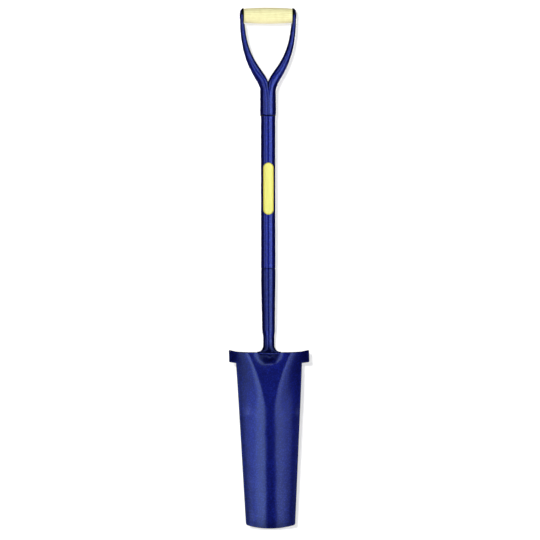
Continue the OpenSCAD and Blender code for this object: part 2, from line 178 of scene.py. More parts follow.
# what a node's inputs take: a number or colour of their own, or another node's output that is linked in
def feed(tree, node, inputs):
    for key, value in inputs.items():
        if isinstance(value, bpy.types.NodeSocket):
            tree.links.new(value, node.inputs[key])
        else:
            node.inputs[key].default_value = value


# a node with its settings and inputs; the nodes stand in one long row in the order of their making
def newNode(tree, kind, inputs=None, **settings):
    node = tree.nodes.new(kind)
    node.location = (200 * len(tree.nodes), 0)
    for key, value in settings.items():
        setattr(node, key, value)
    feed(tree, node, inputs or {})
    return node


def newMaterial(name):
    material = bpy.data.materials.new(name)
    material.use_nodes = True
    tree = material.node_tree
    return material, tree, tree.nodes["Principled BSDF"]


# the helpers below give the one output that is used, or the node where there are two
def maths(tree, operation, first, second):
    return newNode(tree, "ShaderNodeMath", {0: first, 1: second}, operation=operation).outputs[0]


def vectorMaths(tree, operation, inputs):
    return newNode(tree, "ShaderNodeVectorMath", inputs, operation=operation).outputs[0]


def noise(tree, vector, scale, detail=2.0):
    return newNode(tree, "ShaderNodeTexNoise", {"Vector": vector, "Scale": scale, "Detail": detail})


def spread(tree, value, low, high, toLow=0.0, toHigh=1.0, kind="LINEAR"):
    ends = {"Value": value, "From Min": low, "From Max": high, "To Min": toLow, "To Max": toHigh}
    return newNode(tree, "ShaderNodeMapRange", ends, interpolation_type=kind).outputs["Result"]


def ramp(tree, value, stops):
    node = newNode(tree, "ShaderNodeValToRGB", {"Fac": value})
    points = node.color_ramp.elements
    while len(points) < len(stops):
        points.new(0.5)
    for point, (where, colour) in zip(points, stops):
        point.position = where
        point.color = (*colour, 1.0)
    return node.outputs["Color"]


def mixColour(tree, kind, factor, first, second):
    inputs = {"Factor": factor, "A": first, "B": second}
    return newNode(tree, "ShaderNodeMix", inputs, data_type="RGBA", blend_type=kind).outputs["Result"]


def bump(tree, height, strength, distance):
    inputs = {"Strength": strength, "Distance": distance, "Height": height}
    return newNode(tree, "ShaderNodeBump", inputs).outputs["Normal"]


hammerLook = {
    "cells": 330.0, "stretch": 0.35, "flakes": 1500.0,  # the group's own values: cells and flakes in a metre
    "warp": 140.0, "warpReach": 0.012, "cellSoft": 0.35, "dimple": (0.08, 0.62),
    "fewFlakes": (0.55, 1.0), "drift": 26.0, "driftShare": 0.45,
}


# hammered paint: rounded dimples from cells, fine flakes and a slow drift of tone
def makeHammerGroup():
    h = hammerLook
    group = bpy.data.node_groups.new("hammeredPaint", "ShaderNodeTree")
    face = group.interface
    face.new_socket("Vector", in_out="INPUT", socket_type="NodeSocketVector")
    for label, key in (("Cells per metre", "cells"), ("Stretch", "stretch"), ("Flakes per metre", "flakes")):
        face.new_socket(label, in_out="INPUT", socket_type="NodeSocketFloat").default_value = h[key]
    for label in ("Height", "Dimple", "Flakes", "Drift"):
        face.new_socket(label, in_out="OUTPUT", socket_type="NodeSocketFloat")
    enter = newNode(group, "NodeGroupInput")

    # the cells are pulled out of round by a slow noise
    warp = noise(group, enter.outputs["Vector"], h["warp"], 1.0)
    centre = vectorMaths(group, "SUBTRACT", {0: warp.outputs["Color"], 1: (0.5, 0.5, 0.5)})
    reach = maths(group, "MULTIPLY", enter.outputs["Stretch"], h["warpReach"])
    shrink = vectorMaths(group, "SCALE", {0: centre, "Scale": reach})
    moved = vectorMaths(group, "ADD", {0: enter.outputs["Vector"], 1: shrink})
    cells = newNode(group, "ShaderNodeTexVoronoi", feature="SMOOTH_F1", inputs={
        "Vector": moved, "Scale": enter.outputs["Cells per metre"], "Smoothness": h["cellSoft"]})
    dimple = spread(group, cells.outputs["Distance"], *h["dimple"], kind="SMOOTHSTEP")

    # each flake has its own random tone, and only the brightest count
    flakes = newNode(group, "ShaderNodeTexVoronoi", feature="F1", inputs={
        "Vector": enter.outputs["Vector"], "Scale": enter.outputs["Flakes per metre"]})
    pick = newNode(group, "ShaderNodeSeparateColor", {"Color": flakes.outputs["Color"]})
    few = spread(group, pick.outputs["Red"], *h["fewFlakes"])

    # height: dimples with a little of the drift
    drift = noise(group, enter.outputs["Vector"], h["drift"], 3.0).outputs["Fac"]
    low = maths(group, "MULTIPLY", drift, h["driftShare"])
    height = maths(group, "ADD", dimple, low)
    newNode(group, "NodeGroupOutput", {"Height": height, "Dimple": dimple, "Flakes": few, "Drift": drift})
    return group


hammered = makeHammerGroup()

paintLook = {
    "deep": (0.004, 0.005, 0.22),
    "lit": (0.011, 0.019, 0.45),
    "flake": (0.02, 0.045, 0.58, 1.0),
    "shadeColour": (0.0005, 0.0005, 0.004, 1.0),  # near black, for painted shade
    "metal": 0.95,
    "roughLow": 0.33,
    "roughHigh": 0.41,
    "coat": 0.94,
    "coatInShade": 0.05,
    "coatRough": 0.19,
    "bump": 0.26,
    "bumpOnWeld": 0.416,
    "bumpDepth": 0.0006,
}


# deep blue hammered paint; cells is the number of dimples in a metre, shade a factor for each channel, by
# which the copies below are made lighter, bluer or darker as painted light
def makePaint(name, cells, strength, flakeShare, shade=(1.0, 1.0, 1.0), thins=False):
    p = paintLook
    material, tree, shader = newMaterial(name)
    where = newNode(tree, "ShaderNodeTexCoord")
    finish = newNode(tree, "ShaderNodeGroup", node_tree=hammered, inputs={
        "Vector": where.outputs["Object"], "Cells per metre": cells})
    tone = ramp(tree, finish.outputs["Dimple"], [
        (0.0, np.multiply(p["lit"], shade)), (1.0, np.multiply(p["deep"], shade))])
    share = maths(tree, "MULTIPLY", finish.outputs["Flakes"], flakeShare)
    colour = mixColour(tree, "MIX", share, tone, p["flake"])
    coat = min(1.0, p["coat"] * shade[0])
    if thins:
        # painted shade: where the piece's own attribute marks it, the colour goes near black and the coat
        # dull
        paintedShade = newNode(tree, "ShaderNodeAttribute", attribute_name="paintedShade").outputs["Fac"]
        colour = mixColour(tree, "MIX", paintedShade, colour, p["shadeColour"])
        coat = spread(tree, paintedShade, 0.0, 1.0, coat, p["coatInShade"])
    feed(tree, shader, {
        "Base Color": colour,
        "Coat Weight": coat,
        "Roughness": spread(tree, finish.outputs["Drift"], 0.3, 0.7, p["roughLow"], p["roughHigh"]),
        "Normal": bump(tree, finish.outputs["Height"], strength, p["bumpDepth"]),
        "Metallic": p["metal"],
        "Coat Roughness": p["coatRough"],
        "Coat IOR": 1.5,
    })
    return material


onSheet, onWeld = (280.0, paintLook["bump"]), (480.0, paintLook["bumpOnWeld"])
# copies of one paint as painted light: the tube and rivet's is bluer, the one with painted shade a little
# lighter overall, the yoke's lighter, and the groove's darkened as painted shade
bluePaint = makePaint("hammeredBlue", *onSheet, 0.35, (1.0, 1.0, 1.38))
shadedPaint = makePaint("hammeredBlueWithPaintedShade", *onSheet, 0.35, (1.1, 1.1, 1.11), thins=True)
armPaint = makePaint("hammeredBlueOnYoke", *onSheet, 0.35, (1.2, 1.2, 1.3), thins=True)
weldPaint = makePaint("hammeredBlueOnWeld", *onWeld, 0.45)
shadedGroovePaint = makePaint("hammeredBlueShadedInGroove", *onWeld, 0.1, (0.2, 0.2, 0.2))

woodLook = {
    "heart": (0.0, -0.062, -1.092),  # sets the middle of the rings off the barrel's own line
    "longGrain": (0.09, 1.0, 1.0), "bend": 60.0, "bendReach": 0.006,
    "rings": 85.0, "ringWaver": 2.2, "ringDetail": 3.0, "ringFine": 1.4,
    "longPores": (0.06, 1.0, 1.0), "pores": 1500.0, "blotches": 75.0, "spots": 62.0,
    "roughSoft": 0.62, "roughHard": 0.48, "bump": 0.18, "bumpDepth": 0.0003, "gloss": 0.35,
}


# pale turned wood: long rings stretched along the barrel, fine pores and a few faint spots
def makeWood():
    w = woodLook
    material, tree, shader = newMaterial("paleTurnedWood")
    where = newNode(tree, "ShaderNodeTexCoord").outputs["Object"]
    lie = newNode(tree, "ShaderNodeMapping", {
        "Vector": where, "Location": w["heart"], "Scale": w["longGrain"]}).outputs["Vector"]
    bend = noise(tree, lie, w["bend"])
    push = vectorMaths(tree, "SCALE", {0: bend.outputs["Color"], "Scale": w["bendReach"]})
    moved = vectorMaths(tree, "ADD", {0: lie, 1: push})
    rings = newNode(tree, "ShaderNodeTexWave", wave_type="RINGS", rings_direction="X", inputs={
        "Vector": moved, "Scale": w["rings"], "Distortion": w["ringWaver"],
        "Detail": w["ringDetail"], "Detail Scale": w["ringFine"]}).outputs["Fac"]
    tone = ramp(tree, rings, [
        (0.0, (0.82, 0.68, 0.38)), (0.45, (0.88, 0.77, 0.46)), (1.0, (0.92, 0.82, 0.53))])

    # pores run with the grain
    fine = newNode(tree, "ShaderNodeMapping", {"Vector": where, "Scale": w["longPores"]})
    pores = noise(tree, fine.outputs["Vector"], w["pores"]).outputs["Fac"]
    poreTone = ramp(tree, pores, [(0.32, (0.84, 0.80, 0.72)), (0.5, (1.0, 1.0, 1.0))])
    tone = mixColour(tree, "MULTIPLY", 0.55, tone, poreTone)

    # slow blotches, and small grey-brown spots where a knot or rub shows
    blotch = noise(tree, where, w["blotches"], 3.0).outputs["Fac"]
    blotchTone = ramp(tree, blotch, [(0.3, (0.90, 0.86, 0.78)), (0.62, (1.0, 1.0, 1.0))])
    tone = mixColour(tree, "MULTIPLY", 0.7, tone, blotchTone)
    spots = newNode(tree, "ShaderNodeTexVoronoi", {"Vector": where, "Scale": w["spots"]},
                    feature="F1").outputs["Distance"]
    spotTone = ramp(tree, spots, [(0.05, (0.66, 0.60, 0.50)), (0.13, (1.0, 1.0, 1.0))])
    tone = mixColour(tree, "MULTIPLY", 0.6, tone, spotTone)
    feed(tree, shader, {
        "Base Color": tone,
        "Roughness": spread(tree, rings, 0.0, 1.0, w["roughSoft"], w["roughHard"]),
        "Normal": bump(tree, pores, w["bump"], w["bumpDepth"]),
        "Specular IOR Level": w["gloss"],
    })
    return material


paleWood = makeWood()

filmLook = {
    "reach": 12.0,  # millimetres from the outline over which the bands are spread
    "bands": [
        # the first two stops are the dark rim, painted shade
        (0.0, (0.10, 0.07, 0.02)), (0.045, (0.16, 0.11, 0.02)), (0.075, (0.80, 0.68, 0.13)),
        (0.135, (0.58, 0.43, 0.05)), (0.165, (0.58, 0.43, 0.05)), (0.20, (0.86, 0.74, 0.17)),
        (0.5, (0.87, 0.76, 0.21))],
    "mottle": 420.0, "roughLow": 0.30, "roughHigh": 0.42, "bump": 0.08, "bumpDepth": 0.0002,
}


# yellow film: a dark rim of painted shade along its edge, a gold band and a pale field, by the distance from
# its own outline
def makeFilm():
    f = filmLook
    material, tree, shader = newMaterial("yellowFilm")
    edge = newNode(tree, "ShaderNodeAttribute", attribute_name="fromEdge").outputs["Fac"]
    bands = ramp(tree, maths(tree, "DIVIDE", edge, f["reach"]), f["bands"])
    where = newNode(tree, "ShaderNodeTexCoord").outputs["Object"]
    grain = noise(tree, where, f["mottle"]).outputs["Fac"]
    mottle = ramp(tree, grain, [(0.3, (0.93, 0.92, 0.86)), (0.7, (1.0, 1.0, 1.0))])
    feed(tree, shader, {
        "Base Color": mixColour(tree, "MULTIPLY", 0.6, bands, mottle),
        "Roughness": spread(tree, grain, 0.0, 1.0, f["roughLow"], f["roughHigh"]),
        "Normal": bump(tree, grain, f["bump"], f["bumpDepth"]),
    })
    return material


yellowFilm = makeFilm()


# bare drawn steel for the sleeve inside the joint: fine lines along it and a little tarnish
def makeSteel():
    material, tree, shader = newMaterial("bareDrawnSteel")
    where = newNode(tree, "ShaderNodeTexCoord").outputs["Object"]
    lines = newNode(tree, "ShaderNodeMapping", {"Vector": where, "Scale": (1.0, 1.0, 0.05)})
    drawn = noise(tree, lines.outputs["Vector"], 900.0).outputs["Fac"]
    feed(tree, shader, {
        "Base Color": ramp(tree, drawn, [(0.3, (0.42, 0.42, 0.43)), (0.7, (0.60, 0.60, 0.61))]),
        "Roughness": spread(tree, drawn, 0.0, 1.0, 0.28, 0.5),
        "Metallic": 1.0,
    })
    return material


bareSteel = makeSteel()
print("materials ready")

bladeShape = {
    "edgeWidth": 106.5, "shoulderWidth": 143.0, "edgeBow": 6.0, "edgeCorner": 4.0,
    "thickness": 3.2, "edgeThickness": 1.2, "bevel": 12.0, "rolled": 2.6,
    "panelHalf": 46.5, "panelLeft": 43.5, "panelLeast": 2.0, "panelFade": 140.0, "panelCurve": 1.6,
    "slopeTop": 0.56, "slopeLow": 0.50, "turnTop": 11.0, "turnLow": 30.0,
    "curlWidth": 24.0, "curlSlope": 0.2, "earFrom": 66.0, "earCurl": 0.25,
    "hollowWidth": 43.5, "hollowHeight": 24.0, "hollowDepth": 9.4, "hollowSoft": 0.8,
    "hollowRight": 1.5,
    "treadWidth": 173.7, "treadHeight": 27.0, "treadRise": 1.5, "treadStep": 0.4, "treadCorner": 2.5,
    "pressed": 0.16, "pressedWave": 74.0, "pressedFrom": 20.0,  # unevenness left by pressing
    # painted shade: its share along the edge, in the hollow, low on the plate, at the sides and the tip
    "thinEdge": 0.8, "thinEdgeFrom": 0.5, "thinEdgeReach": 1.6,
    "thinHollow": 0.55, "thinHollowReach": 6.0, "thinLeft": 2.2, "thinLeftReach": 14.0,
    "thinLow": 0.13, "thinSides": 0.22, "thinSidesReach": 26.0,
    "thinTip": 0.2, "thinTipHeight": 200.0, "thinTipReach": 44.0,
}
treadRow = place["bladeLength"] - bladeShape["treadHeight"]


# half the width between the plain sides, which part in straight lines up to the treads
def sideHalf(up):
    low, high = bladeShape["edgeWidth"] / 2, bladeShape["shoulderWidth"] / 2
    return low + (high - low) * np.minimum(1, up / treadRow)


# out from the plate's plane: two wings whose slope grows to a limit past a flat V panel, side strips and
# ears that curl on by a parabola, less a round hollow; also its slope and the hollow alone
def plateFace(x, up):
    b = bladeShape
    down = np.maximum(0, place["bladeLength"] - up)
    fade = np.minimum(1, down / b["panelFade"])
    widest = np.where(np.asarray(x) < 0, b["panelLeft"], b["panelHalf"])
    panel = b["panelLeast"] + (widest - b["panelLeast"]) * (1 - fade) ** b["panelCurve"]
    turn = b["turnTop"] + (b["turnLow"] - b["turnTop"]) * fade ** 2
    limit = b["slopeTop"] + (b["slopeLow"] - b["slopeTop"]) * fade
    past = np.maximum(0, np.abs(x) - panel)
    slope = limit * (1 - np.exp(-past / turn))
    dish = limit * (past - turn * (1 - np.exp(-past / turn)))
    strip = np.maximum(0, np.abs(x) - sideHalf(up) + b["curlWidth"])
    share = b["curlSlope"] * fade ** 2 / b["curlWidth"]
    slope = slope + share * strip
    dish = dish + share * strip * strip / 2
    ear = np.maximum(0, np.abs(x) - b["earFrom"])
    reach = b["treadWidth"] / 2 - b["earFrom"]
    slope = slope + b["earCurl"] * ear / reach
    dish = dish + b["earCurl"] * ear * ear / (2 * reach)
    q = 1 - (2 * (x - b["hollowRight"]) / b["hollowWidth"]) ** 2 - (down / b["hollowHeight"]) ** 2
    hollow = b["hollowDepth"] * 0.5 * (q + np.sqrt(q * q + b["hollowSoft"] ** 2))
    return dish - hollow, slope, hollow


# a point of the plate leaned by the lift: across, up along it and out from its front
def onPlate(x, up, out):
    return columns(x, up * math.sin(lift) - out * math.cos(lift),
                   up * math.cos(lift) + out * math.sin(lift))


# least distance of each point (x, y) from a set of straight pieces, taken a few at a time to save memory
def outlineDistance(x, y, ends, batch=80):
    best = np.full(x.shape, 1e9)
    for start in range(0, len(ends), batch):
        a, b = ends[start:start + batch, 0], ends[start:start + batch, 1]
        way = b - a
        px, py = x[..., None] - a[:, 0], y[..., None] - a[:, 1]
        t = np.clip((px * way[:, 0] + py * way[:, 1]) / np.maximum(1e-12, (way ** 2).sum(-1)), 0, 1)
        best = np.minimum(best, np.hypot(px - t * way[:, 0], py - t * way[:, 1]).min(-1))
    return best


# corner cut of radius r at distance d from the end: r - sqrt(r^2 - (r - d)^2)
def cornerCut(r, d):
    left = np.clip(r - np.maximum(0, d), 0, r)
    return r - np.sqrt(r * r - left * left)


# the blade is a grid over its outline; the two faces part from a middle sheet by half the thickness,
# which rounds off to nothing at the outline, so front and back meet in one closed edge
def makeBlade():
    b = bladeShape
    length = place["bladeLength"]
    close = np.array([0.0, 0.10, 0.28, 0.55, 0.9, 1.3, 1.8, 2.5])  # rows crowd together at each edge
    lowRows = np.concatenate([
        close, [3.2, 4.0], np.linspace(5.2, treadRow - 3.2, 130), treadRow - close[:0:-1]])
    rows = np.concatenate([
        lowRows, treadRow + close, np.linspace(treadRow + 3.2, length - 3.2, 30), length - close[::-1]])
    half = sideHalf(rows) - cornerCut(b["edgeCorner"], rows)
    end = b["treadWidth"] / 2 - cornerCut(b["treadCorner"], np.minimum(rows - treadRow, length - rows))
    side = np.concatenate([-1 + close / 62, np.linspace(-0.94, 0.94, 110), 1 - close[::-1] / 62])
    ear = np.concatenate([np.linspace(0.05, 0.78, 8), 1 - close[::-1] / 15.4])
    bodyX = half[:, None] * side
    earX = half[:, None] + (end - half)[:, None] * ear
    x = np.concatenate([-earX[:, ::-1], bodyX, earX], 1)
    row = rows[:, None] + 0 * x
    past = np.maximum(0, np.abs(x) - b["shoulderWidth"] / 2)
    reach = (b["treadWidth"] - b["shoulderWidth"]) / 2
    rise = b["treadStep"] * ease(past / 3) + b["treadRise"] * past / reach
    up = (row + b["edgeBow"] * (2 * x / b["edgeWidth"]) ** 2 * (1 - row / length)
          + rise * np.maximum(0, row - treadRow) / b["treadHeight"])

    # below the treads only the body's cells are kept, and cells without a neighbour give the outline
    rowCount, colCount = x.shape
    ears = len(ear)
    j = np.arange(rowCount - 1)[:, None]
    i = np.arange(colCount - 1)[None, :]
    kept = (j >= len(lowRows)) | ((i >= ears) & (i < colCount - 1 - ears))
    wide = np.pad(kept, 1)
    number = np.arange(rowCount * colCount).reshape(rowCount, colCount)
    cell = columns(number[:-1, :-1], number[:-1, 1:], number[1:, 1:], number[1:, :-1])
    border = np.concatenate([
        cell[kept & ~wide[1:-1, :-2]][:, [0, 3]], cell[kept & ~wide[1:-1, 2:]][:, [1, 2]],
        cell[kept & ~wide[:-2, 1:-1]][:, [0, 1]], cell[kept & ~wide[2:, 1:-1]][:, [3, 2]]])
    flat = columns(x.ravel(), up.ravel())
    away = outlineDistance(x, up, flat[border])

    face, slope, hollow = plateFace(x, up)
    thick = b["edgeThickness"] + (b["thickness"] - b["edgeThickness"]) * np.minimum(1, row / b["bevel"])
    depth = thick * np.sqrt(1 + slope * slope)
    calm = ease(away / b["pressedFrom"])  # the outline itself stays true
    face = face + b["pressed"] * calm * uneven(x, up, b["pressedWave"], 0.4)
    middle = face - depth / 2
    front = onPlate(x, up, middle + depth / 2 * quarterRound(away / b["rolled"]))
    back = onPlate(x, up, middle - depth / 2 * quarterRound(away / (0.5 * thick)))
    quads = cell[kept]
    faces = np.concatenate([quads, quads[:, ::-1] + rowCount * colCount])
    points = np.concatenate([front.reshape(-1, 3), back.reshape(-1, 3)])

    # painted shade: dark along the edge, in the hollow and more so on its left, and toward the low sides and
    # tip
    shade = 1.0 - b["thinLeft"] * ease((b["hollowRight"] - x) / b["thinLeftReach"])
    atEdge = b["thinEdge"] * (1 - ease((away - b["thinEdgeFrom"]) / b["thinEdgeReach"]))
    inHollow = b["thinHollow"] * ease((hollow - shade) / b["thinHollowReach"])
    low = np.minimum(1, np.maximum(0, length - up) / b["panelFade"]) ** 2
    atSides = b["thinSides"] * low * (1 - ease(away / b["thinSidesReach"]))
    atTip = b["thinTip"] * (1 - ease(up / b["thinTipHeight"])) * (1 - ease(away / b["thinTipReach"]))
    thin = np.maximum(np.maximum(atEdge, inHollow), b["thinLow"] * low + atSides + atTip)
    makePiece("bladePlate", points, faces, shadedPaint, "tool", ["blade"], sharp=50,
              values={"paintedShade": np.concatenate([thin, thin])})


makeBlade()

socketShape = {
    "neckRadius": 12.45, "shoulderRadius": 14.3, "shoulderRise": 47.0, "shoulderDrop": 16.0,
    "footHeight": 15.0, "footWidth": 52.0, "footDepth": 19.0, "footRim": 1.2, "footClear": 0.1,
    "footRipple": 0.35, "tuckAcross": 0.965, "tuckDeep": 0.94, "tuckDrop": 0.55,
    "lead": 15.0, "steps": 96,
    "right": 1.2,  # how far the foot is set to the right of the shaft's line
    # painted shade over the whole socket, most in the foot's corner
    "thin": 0.18, "thinFoot": 0.7, "thinFrom": 4.0, "thinReach": 26.0,
}


# half of the joint's groove: the radius eases in to the groove's floor at the joint
def grooveProfile(fromJoint):
    sink = place["grooveDepth"] * (1 - ease(np.abs(fromJoint) / place["grooveHalf"]))
    return columns(place["shaftRadius"] - sink, jointZ + fromJoint)


# the socket is a loft: an oval foot on the slanted top of the plate flares up into a round neck,
# then eased tapers lead to the shoulder, the tube's size and half of the joint's groove
def makeSocket():
    s = socketShape
    a = roundSteps(s["steps"])
    footTop = heelZ + s["footHeight"]

    # foot: half axes grow from the neck's radius by 1 - cos(q), a quarter round down to a small rim
    q = np.linspace(math.pi / 2, 0, 26)[:, None]
    across = s["neckRadius"] + (s["footWidth"] / 2 - s["neckRadius"]) * (1 - np.cos(q))
    deep = s["neckRadius"] + (s["footDepth"] / 2 - s["neckRadius"]) * (1 - np.cos(q))
    x, y = across * np.cos(a), deep * np.sin(a)
    floor = heelZ + s["footClear"] - (y + place["shaftBehind"]) * math.tan(lift)
    z = footTop + (floor + s["footRim"] - footTop) * np.sin(q)
    ripple = s["footRipple"] * np.sin(q) ** 3 * uneven(x * 2, y * 2, 21.0, 1.1)
    foot = columns(x + ripple * np.cos(a), shaftY + y + ripple * np.sin(a), z)
    rim = foot[:1] - [0, 0, s["footRim"]]
    under = rim * [s["tuckAcross"], 1, 1] - [0, 0, s["tuckDrop"]]  # turned in a little
    under[..., 1] = shaftY + (under[..., 1] - shaftY) * s["tuckDeep"]

    neckTop = heelZ + s["shoulderRise"] - s["shoulderDrop"]
    shoulderTop = heelZ + s["shoulderRise"]
    taperTop = jointZ - s["lead"]
    t = np.linspace(0, 1, 24)
    neck = columns(s["neckRadius"], footTop + (neckTop - footTop) * t)[1:-1]
    shoulder = columns(s["neckRadius"] + (s["shoulderRadius"] - s["neckRadius"]) * ease(t),
                       neckTop + s["shoulderDrop"] * t)
    taper = columns(s["shoulderRadius"] + (place["shaftRadius"] - s["shoulderRadius"]) * ease(t),
                    shoulderTop + (taperTop - shoulderTop) * t)[1:]
    groove = grooveProfile(np.linspace(-2 * place["grooveHalf"], 0, 14))
    upper = turned(np.concatenate([neck, shoulder, taper, groove]), s["steps"])
    points = np.concatenate([under, rim, foot, upper])

    # it leads to the right by the square of the way down
    drop = (taperTop - points[..., 2]) / (taperTop - heelZ)
    points[..., 0] += s["right"] * np.clip(drop, 0, 1) ** 2
    # painted shade, darkest low on the foot
    inCorner = s["thinFoot"] * (1 - ease((points[..., 2] - heelZ - s["thinFrom"]) / s["thinReach"]))
    makePiece("socketForging", points, loftFaces(len(points), s["steps"]), shadedPaint, "tool",
              ["socket"], values={"paintedShade": np.maximum(s["thin"], inCorner)})


makeSocket()

beadShape = {
    "radius": 2.4, "half": 21.2, "gap": 0.35, "slim": 0.88, "endSize": 0.32,
    "ripple": 0.16, "pitch": 2.6, "lumps": 0.2, "waver": 0.5, "stations": 150, "steps": 22,
}


# two rough beads across the foot: tubes whose radius swells and ripples as a hand-laid weld does
def makeNeckWeld():
    w = beadShape
    s = np.linspace(-1, 1, w["stations"])[:, None]
    a = roundSteps(w["steps"])
    x = w["half"] * s
    middle = place["bladeLength"] - w["radius"]
    swell = w["endSize"] + (1 - w["endSize"]) * np.sqrt(np.clip(1 - s ** 4, 0, 1))
    ripple = 1 + w["ripple"] * np.abs(np.sin(math.pi * x / w["pitch"] + 0.9 * np.cos(a)))
    face = plateFace(x, middle + 0 * x)[0]
    clear = w["radius"] * swell + w["gap"]
    points, faces = [], []
    for out, turn in ((face + clear, 0.3), (face - bladeShape["thickness"] - clear, 2.2)):
        lumps = 1 + w["lumps"] * uneven(x, x * 0.3, 11.0, turn)
        r = w["radius"] * w["slim"] * swell * ripple * lumps
        up = middle + w["waver"] * uneven(x, x, 15.0, turn * 2)
        bead = onPlate(x + socketShape["right"], up + r * np.cos(a), out + r * np.sin(a))
        faces += loftFaces(w["stations"], w["steps"], len(points) * w["stations"] * w["steps"])
        points.append(bead)
    makePiece("neckWeldBead", np.concatenate(points), faces, weldPaint, "tool",
              ["neck_weld"])


makeNeckWeld()

tubeShape = {"wall": 2.0, "steps": 96}


# the tube is a closed profile turned about the shaft's line, with its half of the joint's groove below
def makeTube():
    r = place["shaftRadius"]
    inner = r - tubeShape["wall"]
    top = collarZ + place["tubeInside"]
    groove = grooveProfile(np.linspace(0, 2 * place["grooveHalf"], 14))
    side = columns(r, np.linspace(jointZ + 4, top - 1, 30))
    rim = np.array([[r - 0.4, top], [inner + 0.3, top], [inner, top - 0.5], [inner, jointZ + 0.3]])
    profile = np.concatenate([groove, side, rim, [[inner, jointZ]]])
    points, faces = closedTurn(turned(profile, tubeShape["steps"]))
    makePiece("shaftTube", points, faces, bluePaint, "tool", ["shaft_tube"])


makeTube()

jointShape = {"fill": 0.55, "half": 0.75, "lumps": 0.14, "waver": 0.12, "steps": 240}


# sunk weld: a small closed ring section whose height wavers round the joint
def makeJointWeld():
    s = jointShape
    a = roundSteps(s["steps"])
    q = roundSteps(12)[:, None]
    base = place["shaftRadius"] - place["grooveDepth"]
    lumps = s["lumps"] * uneven(a * 5, a * 1.3, 1.7, 0.8)
    r = base + s["fill"] * 0.5 + (s["fill"] * 0.5 + lumps) * np.cos(q)
    z = jointZ + s["half"] * np.sin(q) + s["waver"] * uneven(a * 3, a, 2.3, 1.9)
    points, faces = closedTurn(columns(r * np.cos(a), shaftY + r * np.sin(a), z))
    # its paint is darkened as painted shade in the groove
    makePiece("jointWeldRing", points, faces, shadedGroovePaint, "tool", ["joint_weld"])


makeJointWeld()

armShape = {
    "sheet": 1.5, "rootHalf": 9.4, "swellHalf": 14.4, "midHalf": 7.1, "topHalf": 5.5,
    "pullLow": 34.3, "pullHigh": 95.8, "lean": 6.0, "eyeThick": 8.6, "depth": 25.0,
    "eyeRise": 15.9, "eyeRound": 7.0, "lip": 0.7, "lipAngle": 7.0, "rimIn": 0.45, "rimReach": 0.5,
    "gripEnd": 30.4, "endGap": 0.3,
    "sleeveOpen": 90.0, "armOpen": 150.0, "eyeOpen": 172.0, "curl": 74.0, "seam": 0.1,
    # painted shade: inside the eye next to the grip, and along the inner lips above the fork
    "eyeDarkFrom": 0.5, "eyeDarkRise": 1.5, "eyeDarkDeep": 4.6, "eyeDarkSoft": 1.2,
    "thinLips": 0.75, "thinLipsFrom": 0.8, "thinLipsReach": 2.8, "thinLipsRise": 8.0,
}
eyeIn = place["gripLength"] / 2 + armShape["endGap"]
eyeOut = eyeIn + armShape["eyeThick"]


# cubic curve through four control values
def bezier(a, b, c, d, t):
    return a * (1 - t) ** 3 + 3 * b * t * (1 - t) ** 2 + 3 * c * t * t * (1 - t) + d * t ** 3


# its direction: the curve's derivative by t
def bezierWay(a, b, c, d, t):
    return 3 * (b - a) * (1 - t) ** 2 + 6 * (c - b) * t * (1 - t) + 3 * (d - c) * t * t


# one half of the yoke: at each station along a curve, sheet bent round part of an oval that opens into
# a half sleeve on the tube and closes towards the grip; the stations run from the rim to the eye, and
# each has its outer and inner point, depth, opening angle and how much of the inside is left
def armStations():
    s = armShape
    r = place["sleeveRadius"]
    eyeLow = gripZ - s["gripEnd"] / 2 - 2 * s["endGap"]
    eyeTop = gripZ + s["eyeRise"]
    root = np.array([r - s["rootHalf"], forkZ])
    tip = np.array([eyeOut - s["topHalf"], eyeLow - s["eyeThick"] / 3])
    low = root + [0, s["pullLow"]]
    high = tip - [s["lean"], s["pullHigh"]]

    z = np.concatenate([collarZ + np.array([0, 0.25, 0.7, 1.4]), np.linspace(collarZ + 3, forkZ - 1.2, 34)])
    ones = np.ones(len(z))
    sleeve = [columns(r, z), columns(s["seam"], z), r * ones, z, ones]

    t = np.linspace(0, 1, 96)[:, None]
    centre = bezier(root, low, high, tip, t)
    way = bezierWay(root, low, high, tip, t)
    across = columns(way[:, 1], -way[:, 0]) / np.linalg.norm(way, axis=1)[:, None]
    half = bezier(s["rootHalf"], s["swellHalf"], s["midHalf"], s["topHalf"], t)
    inner, outer = centre - across * half, centre + across * half
    inner[:, 0] = np.maximum(s["seam"], inner[:, 0])
    deep = r + (s["depth"] / 2 - r) * ease(t[:, 0] * 2.2)
    arm = [outer, inner, deep, centre[:, 1], np.ones(len(t))]

    # the eye is fully curled in, so its height on the curl is set far up
    zEye = np.linspace(eyeLow, eyeTop - s["eyeRound"], 16)
    ones = np.ones(len(zEye))
    eye = [columns(eyeOut, zEye), columns(eyeIn, zEye), s["depth"] / 2 * ones, 1e6 * ones, ones]
    q = np.radians(np.linspace(4, 84, 18))
    cut = s["eyeRound"] * (1 - np.cos(q))
    zTop = eyeTop - s["eyeRound"] * (1 - np.sin(q))
    share = np.degrees(q) / 90
    top = [columns(eyeOut - cut, zTop), columns(eyeIn, zTop),
           s["depth"] / 2 - cut, 1e6 * np.ones(len(q)), 1 - share * 0.98]

    outer, inner, deep, height, hollow = [np.concatenate(parts) for parts in zip(sleeve, arm, eye, top)]
    curled = ease((height - collarZ - place["tubeInside"]) / s["curl"])
    opening = s["sleeveOpen"] + (s["armOpen"] - s["sleeveOpen"]) * curled
    opening[-len(q):] = s["armOpen"] + (s["eyeOpen"] - s["armOpen"]) * share
    return outer, inner, deep, opening, hollow


